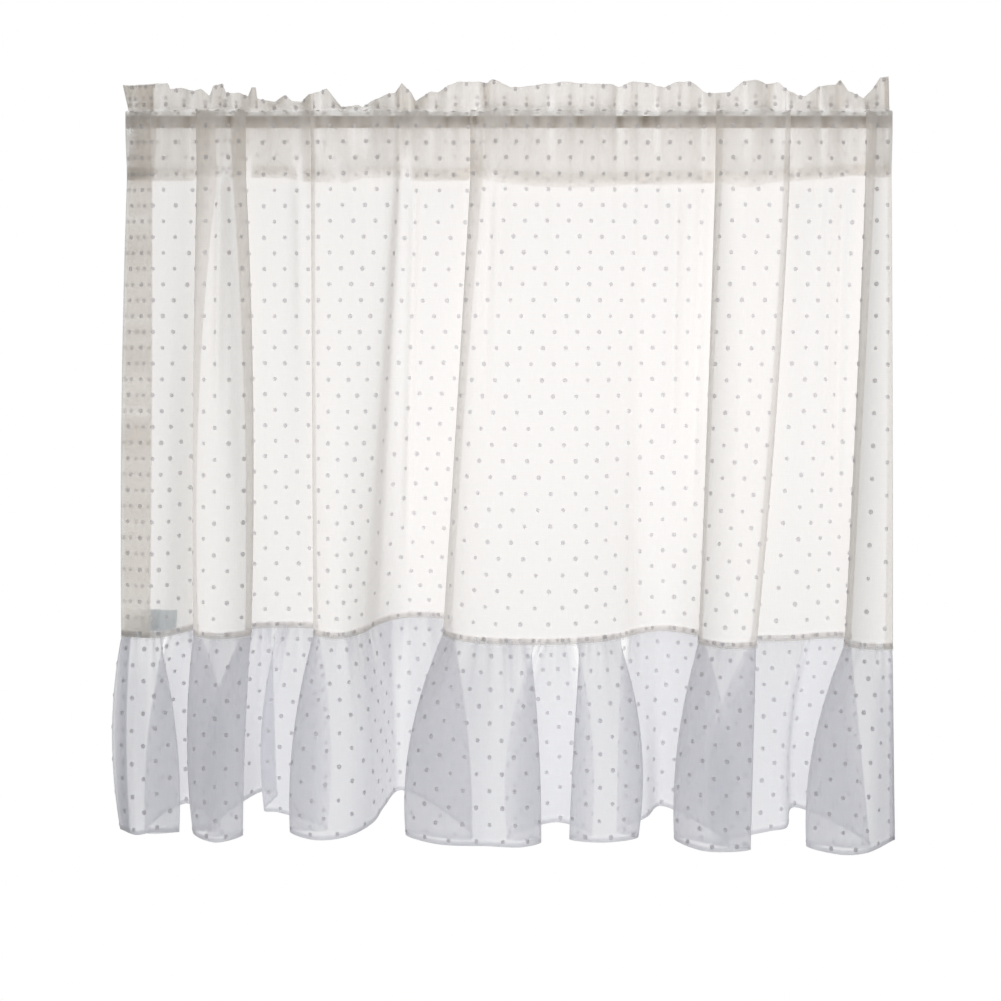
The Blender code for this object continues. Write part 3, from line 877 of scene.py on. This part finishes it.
# Folds of the flounce: place along the panel's foot, counted in rows of the panel's table,
# then place across and distance forward where the flounce swells and at its hem, and how
# much lower its hem hangs there.
flounceFolds = np.array([
    # at, xSwell, xHem, outSwell, outHem, drop
    (0.0, -9, 2, 22, 34, 0),
    (0.5, 16, 21, 32, 46, 0),
    (1.0, 29, 35, 26, 41, 0),
    (1.7, 53, 61, 27, 40, 0),
    (2.1, 26, 24, 12, 26, 7),
    (2.5, 53, 54, -14, -20, 0),
    (3.0, 93, 92, -12, 0, 17),
    (4.0, 65, 74, 24, 40, 0),
    (5.0, 96, 101, 42, 61, 0),
    (6.0, 124, 124, 30, 46, 0),
    (7.0, 86, 87, 12, 30, 8),
    (7.8, 125, 127, -30, -47, 0),
    (8.3, 142, 143, -27, -41, 0),
    (8.6, 135, 136, -8, -4, 0),
    (9.0, 151, 150, -5, -1, 0),
    (10.0, 203, 202, 10, 22, 7),
    (11.0, 172, 168, 24, 38, 0),
    (11.6, 198, 194, 38, 56, 0),
    (12.2, 223, 224, 34, 50, 0),
    (12.8, 241, 247, 20, 22, 0),
    (13.4, 253, 256, -9, -14, 0),
    (14.8, 268, 270, -42, -50, 0),
    (16.0, 338, 345, 2, 24, 14),
    (17.0, 289, 281, 26, 44, 0),
    (18.0, 319, 312, 48, 64, 0),
    (18.6, 360, 360, 53, 68, 0),
    (19.1, 391, 394, 53, 70, 0),
    (19.28, 409, 412, 46, 60, 0),
    (19.37, 384, 380, 36, 44, 5),
    (19.62, 426, 428, 25, 20, 0),
    (19.93, 461, 462, 30, 36, 5),
    (20.0, 445, 439, 44, 54, 0),
    (20.5, 474, 472, 46, 61, 0),
    (21.0, 508, 506, 32, 50, 0),
    (21.15, 490, 487, 18, 28, 6),
    (22.0, 516, 517, 2, 11, 0),
    (23.2, 538, 535, -9, -15, 0),
    (25.0, 594, 595, 20, 38, 14),
    (26.0, 548, 540, 40, 52, 0),
    (26.6, 569, 562, 62, 76, 0),
    (27.3, 597, 592, 63, 79, 0),
    (28.0, 616, 610, 58, 74, 0),
    (29.0, 582, 579, 42, 54, 6),
    (29.5, 641, 636, 33, 38, 0),
    (30.1, 656, 652, 27, 32, 0),
    (30.6, 669, 669, 5, -12, 0),
    (32.0, 724, 731, 26, 44, 12),
    (33.0, 678, 664, 52, 67, 0),
    (33.8, 699, 691, 66, 84, 0),
    (34.3, 726, 716, 66, 82, 0),
    (35.0, 752, 752, 50, 55, 0),
], float)


def seamPlaces(at):
    # points of the panel's foot at places counted in rows of its fold table
    cuts = 60
    foot = softCurve(panelCorners(clothSet["foot"]), cuts)
    index = np.arange(len(foot)) / cuts
    return np.column_stack([np.interp(at, index, foot[:, i]) for i in range(2)])


def flounceRows():
    cuts = flounceSet["cuts"]
    seam, swell, hem = flounceSet["seam"], flounceSet["swell"], flounceSet["hem"]
    count = (len(flounceFolds) - 1) * cuts + 1
    at = np.interp(np.arange(count) / cuts, np.arange(len(flounceFolds)), flounceFolds[:, 0])
    seamLine = seamPlaces(at)
    swellLine = softCurve(flounceFolds[:, [1, 3]], cuts)
    hemLine = softCurve(flounceFolds[:, [2, 4]], cuts)
    flat = np.concatenate([[0], np.cumsum(np.linalg.norm(np.diff(hemLine, axis=0), axis=1))])
    # enough little pleats to reach the far end
    wave = ridges(flat, finePleats(int(flat[-1] / 6.5), 5, flounceSet["pleatSpacing"]))
    drop = softCurve(flounceFolds[:, [0, 5]], cuts)[:, 1]
    rows = []
    for share in np.linspace(0, 1, flounceSet["rows"]) ** flounceSet["rowSpread"]:
        height = hem + (seam - hem) * share
        row = atHeight(height, (hem, swell, seam), (hemLine, swellLine, seamLine))
        down = seam - height
        row[:, 1] += flounceSet["pleatDepth"] * wave * math.exp(-down / flounceSet["pleatReach"])
        row[:, 1] -= flounceSet["seamBehind"] * math.exp(-down / flounceSet["behindReach"])
        sag = clothSet["forwardSag"] * (row[:, 1] - clothSet["sagFrom"])
        lower = drop * (1 - share) ** flounceSet["hemDropCurve"]
        rows.append(np.column_stack([row, height - sag - lower]))
    top = rows[-1].copy()
    for rise in np.linspace(2, flounceSet["allowance"], 3):
        rows.append(top + (0, 0, rise))
    return np.array(rows)


flounceCloth = clothFrom(flounceRows())
sideTurns = ((0.5, flounceSet["sideHem"], 2), (flounceSet["sideHem"], 3, 1))
turnEdge(flounceCloth, 1, True, sideTurns, gap)
hemColumns = len(flounceCloth["u"]) - (len(flounceFolds) - 1) * flounceSet["cuts"] - 1
turnEdge(flounceCloth, 1, False, ((0.5, 5, 1),), gap)
turnEdge(flounceCloth, 0, True, ((0.5, flounceSet["bottomHem"], 1.0),), gap)

flounceTightSet = {
    "pleats": 1.6,
    "pleatLoosest": -0.38,
    "pleatReach": 32.0,
    "atSeam": 0.3,
    "seamReach": 7.0,
    "tipReach": 12.0,
    "tipLoose": 0.8,
    "allowanceLoose": 0.45,
    "loosest": -0.85,
}

# Painted light and shade on the flounce lobes: places made lighter or darker below the seam, and
# darker just under it
lobeLightAndShade = np.array([
    # x, halfWidth, share
    (-6, 6, -0.35), (13, 11, 0.6), (268, 13, -0.3), (610, 9, -0.15), (345, 16, 0.45),
    (740, 14, 0.4),
], float)
lobeTopShade = np.array([
    # x, halfWidth, share
    (94, 15, 0.7), (588, 15, 0.5),
], float)


def flounceThreadsAndLight():
    values, u = flounceTightSet, flounceCloth["u"]
    placeX = flounceCloth["grid"][:, :, 0]
    belowSeam = flounceSet["seam"] - flounceCloth["grid"][:, :, 2]
    down = np.maximum(belowSeam, 0)
    pleats = values["pleats"] * ridges(u, finePleats(170, 8, 7.2))
    pleats = np.maximum(pleats, values["pleatLoosest"])
    threadsAndPaintedLight = pleats[None, :] * np.exp(-down / values["pleatReach"])
    threadsAndPaintedLight += values["atSeam"] * np.exp(-down / values["seamReach"])
    # the tips of the folds turned under hang loose, so their edges show softly
    tips = np.flatnonzero(flounceFolds[:, 5] > 0) * flounceSet["cuts"] + hemColumns
    tipTable = np.array([(u[tip], values["tipReach"], values["tipLoose"]) for tip in tips])
    threadsAndPaintedLight -= np.minimum(ridges(u, tipTable), values["tipLoose"])[None, :]
    threadsAndPaintedLight[-3:] -= values["allowanceLoose"]
    # painted light and shade on the lobes below the seam, and painted shade just under it
    threadsAndPaintedLight += marksAcross(placeX, lobeLightAndShade) * eased(belowSeam / 50)
    threadsAndPaintedLight += marksAcross(placeX, lobeTopShade) * eased((85 - belowSeam) / 60)
    return np.maximum(threadsAndPaintedLight, values["loosest"])


markCloth(flounceCloth, flounceThreadsAndLight())
flounceSheet = addSheet("flounceSheet", flounceCloth, flounceVoileShaded)
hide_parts("flounce")
print("flounce is hung", flatSize(flounceCloth))


seamSet = {
    "tall": 5.2,
    "thick": 1.3,
    "proud": 0.6,
    "step": 1.1,
    "halfTurn": 80,
    "above": 0.6,
    "puckers": 0.55,
    "pleatSpacing": 5.6,
    "pleatRise": 0.25,
    "wanderSpacing": 17.0,
    "wanderRise": 0.35,
    "faintAt": 664.0,
    "faintReach": 36.0,
}


def addSeam():
    # the bound gathers: a low uneven ridge along the seam
    line = seamPlaces(np.linspace(0, 35, 1600))
    walked = np.concatenate([[0], np.cumsum(np.linalg.norm(np.diff(line, axis=0), axis=1))])
    count = int(walked[-1] / seamSet["step"])
    at = np.linspace(0, walked[-1], count)
    line = np.column_stack([np.interp(at, walked, line[:, i]) for i in range(2)])
    along = np.gradient(line, axis=0)
    along /= np.linalg.norm(along, axis=1, keepdims=True)
    outward = np.column_stack([along[:, 1] * -1, along[:, 0]])
    bumps = ridges(at, finePleats(int(count / 5.0), 21, seamSet["pleatSpacing"]))
    wander = ridges(at, finePleats(int(count / 16), 4, seamSet["wanderSpacing"]))
    rows = []
    sag = clothSet["forwardSag"] * (line[:, 1] - clothSet["sagFrom"])
    level = flounceSet["seam"] + seamSet["above"] - sag
    edge = math.cos(math.radians(seamSet["halfTurn"]))
    for angle in np.linspace(-seamSet["halfTurn"], seamSet["halfTurn"], 9):
        turn = math.radians(angle)
        reach = seamSet["proud"] + seamSet["thick"] * (math.cos(turn) - edge)
        place = line + outward * (reach + seamSet["puckers"] * bumps * math.cos(turn))[:, None]
        rise = 0.5 * seamSet["tall"] * math.sin(turn) + seamSet["wanderRise"] * wander
        rise = rise + seamSet["pleatRise"] * bumps * math.sin(turn)
        rows.append(np.column_stack([place, level + rise]))
    ridge = clothFrom(np.array(rows))
    # painted shade: the seam's threads are made denser where it stands forward and thinner around
    # faintAt, so it looks darker forward and fainter there; its gathers add uneven bumps
    forward = 0.08 + 0.87 * eased((line[:, 1] + 14) / 44)
    fromFaint = (line[:, 0] - seamSet["faintAt"]) / seamSet["faintReach"]
    forward -= 0.5 * np.exp(-fromFaint ** 2)
    threadsAndPaintedLight = forward * np.clip(1.1 + 0.6 * bumps + 0.6 * wander, 0.5, 2.2)
    ridge["marks"] = {"depthAndShade": np.tile(threadsAndPaintedLight, (len(rows), 1))}
    seam = addSheet("seamRidge", ridge, seamVoile)


addSeam()
print("seam is sewn")


dotSet = {
    "across": 22.4,
    "down": 15.7,
    "width": 4.2,
    "height": 4.6,
    "thick": 0.7,
    "uneven": 0.12,
    "reach": 0.8,
    "panelStart": (6.0, 10.5),
    "flounceStart": (9.0, 9.0),
    "segments": 8,
    "rings": 4,
}


def dotPlaces(cloth, startAcross, startUp):
    u, v = cloth["u"], cloth["v"]
    places = []
    up = v[0] + startUp
    row = 0
    while up < v[-1]:
        # every other row is shifted by half a step
        start = u[0] + startAcross + (row % 2) * dotSet["across"] / 2
        places += [(across, up) for across in np.arange(start, u[-1], dotSet["across"])]
        up += dotSet["down"]
        row += 1
    return np.array(places)


def interpolate(cloth, values, places):
    column = np.interp(places[:, 0], cloth["u"], np.arange(len(cloth["u"])))
    row = np.interp(places[:, 1], cloth["v"], np.arange(len(cloth["v"])))
    left = np.clip(column.astype(int), 0, len(cloth["u"]) - 2)
    low = np.clip(row.astype(int), 0, len(cloth["v"]) - 2)
    across, up = (column - left)[:, None], (row - low)[:, None]
    lower = values[low, left] * (1 - across) + values[low, left + 1] * across
    upper = values[low + 1, left] * (1 - across) + values[low + 1, left + 1] * across
    return lower * (1 - up) + upper * up


def addDots(name, cloth, slot, startAcross, startUp):
    places = dotPlaces(cloth, startAcross, startUp)
    step, grid = dotSet["reach"], cloth["grid"]
    centre = interpolate(cloth, grid, places)
    right = interpolate(cloth, grid, places + (step, 0))
    across = right - interpolate(cloth, grid, places - (step, 0))
    above = interpolate(cloth, grid, places + (0, step))
    up = above - interpolate(cloth, grid, places - (0, step))
    across /= np.maximum(np.linalg.norm(across, axis=1, keepdims=True), 1e-6)
    up -= across * (across * up).sum(axis=1, keepdims=True)
    up /= np.maximum(np.linalg.norm(up, axis=1, keepdims=True), 1e-6)
    outward = np.cross(up, across)
    choose = np.random.default_rng(len(places))
    grown = choose.uniform(1 - dotSet["uneven"], 1 + dotSet["uneven"], (len(places), 1, 1))
    # one dot is the upper half of a small ball, and the rest are copies of it
    bpy.ops.object.select_all(action="DESELECT")
    bpy.ops.mesh.primitive_uv_sphere_add(segments=dotSet["segments"],
                                         ring_count=dotSet["rings"], radius=0.5)
    seed = bpy.context.active_object
    shape = np.array([corner.co[:] for corner in seed.data.vertices])
    faces = [tuple(face.vertices) for face in seed.data.polygons if face.center.z > 0.02]
    used = sorted({index for face in faces for index in face})
    shape = shape[used]
    faces = [tuple(used.index(index) for index in face) for face in faces]
    bpy.data.objects.remove(seed)
    points = (centre[:, None, :]
              + shape[None, :, 0:1] * across[:, None, :] * dotSet["width"] * grown
              + shape[None, :, 1:2] * up[:, None, :] * dotSet["height"] * grown
              + shape[None, :, 2:3] * outward[:, None, :] * dotSet["thick"])
    points = points.reshape(-1, 3) * (millimetre, -millimetre, millimetre)
    allFaces = [tuple(index + len(shape) * dot for index in face)
                for dot in range(len(places)) for face in faces]
    mesh = bpy.data.meshes.new(name)
    mesh.from_pydata(points.tolist(), [], allFaces)
    mesh.materials.append(dotThread)
    mesh.shade_smooth()
    dots = bpy.data.objects.new(name, mesh)
    bpy.context.scene.collection.objects.link(dots)
    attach(dots, "root")
    print(name, len(places), "dots")


addDots("panelDots", panelCloth, "voile", *dotSet["panelStart"])
addDots("flounceDots", flounceCloth, "flounce_voile", *dotSet["flounceStart"])


def refinish(node, finish):
    piece = bpy.data.objects[node]
    for slot in piece.material_slots:
        slot.link = "OBJECT"
        slot.material = finish


rodPaint = makeMatte("rodPaint", (0.36, 0.29, 0.205), 0.0)
refinish("rod", rodPaint)

labelSet = {
    "right": 47.5,
    "left": 12.0,
    "foldOver": 30.0,
    "top": -489.0,
    "bottom": -510.0,
    "away": -5.5,
    "plyGap": 0.9,
    "lean": 1.6,
    "bow": 0.9,
    "bowWave": 0.19,
    "splay": 0.02,
}


def addLabel():
    # a blank ribbon folded over once, its lower edge caught in the seam
    left, right, foldOver = labelSet["left"], labelSet["right"], labelSet["foldOver"]
    away, gap = labelSet["away"], labelSet["plyGap"]
    path = [(x, away) for x in np.linspace(right, left, 14)]
    path += [(left - gap * math.sin(turn), away - gap + gap * math.cos(turn))
             for turn in (0.8, 1.57, 2.3)]
    path += [(x, away - 2 * gap - labelSet["splay"] * (x - left))
             for x in np.linspace(left, foldOver, 9)]
    path = np.array(path)[::-1]
    rows = []
    for share in np.linspace(0, 1, 10):
        lean = labelSet["lean"] * share
        bow = labelSet["bow"] * np.sin(path[:, 0] * labelSet["bowWave"]) * share
        height = labelSet["bottom"] + (labelSet["top"] - labelSet["bottom"]) * share
        x, out = path[:, 0] + lean * 0.5, path[:, 1] + bow - lean
        rows.append(np.column_stack([x, out, np.full(len(path), height)]))
    ribbon = clothFrom(np.array(rows))
    ribbon["marks"] = {"depthAndShade": np.ones(ribbon["grid"].shape[:2])}
    label = addSheet("labelRibbon", ribbon, labelSatin)
    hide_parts("label")


addLabel()
print("label is sewn in")
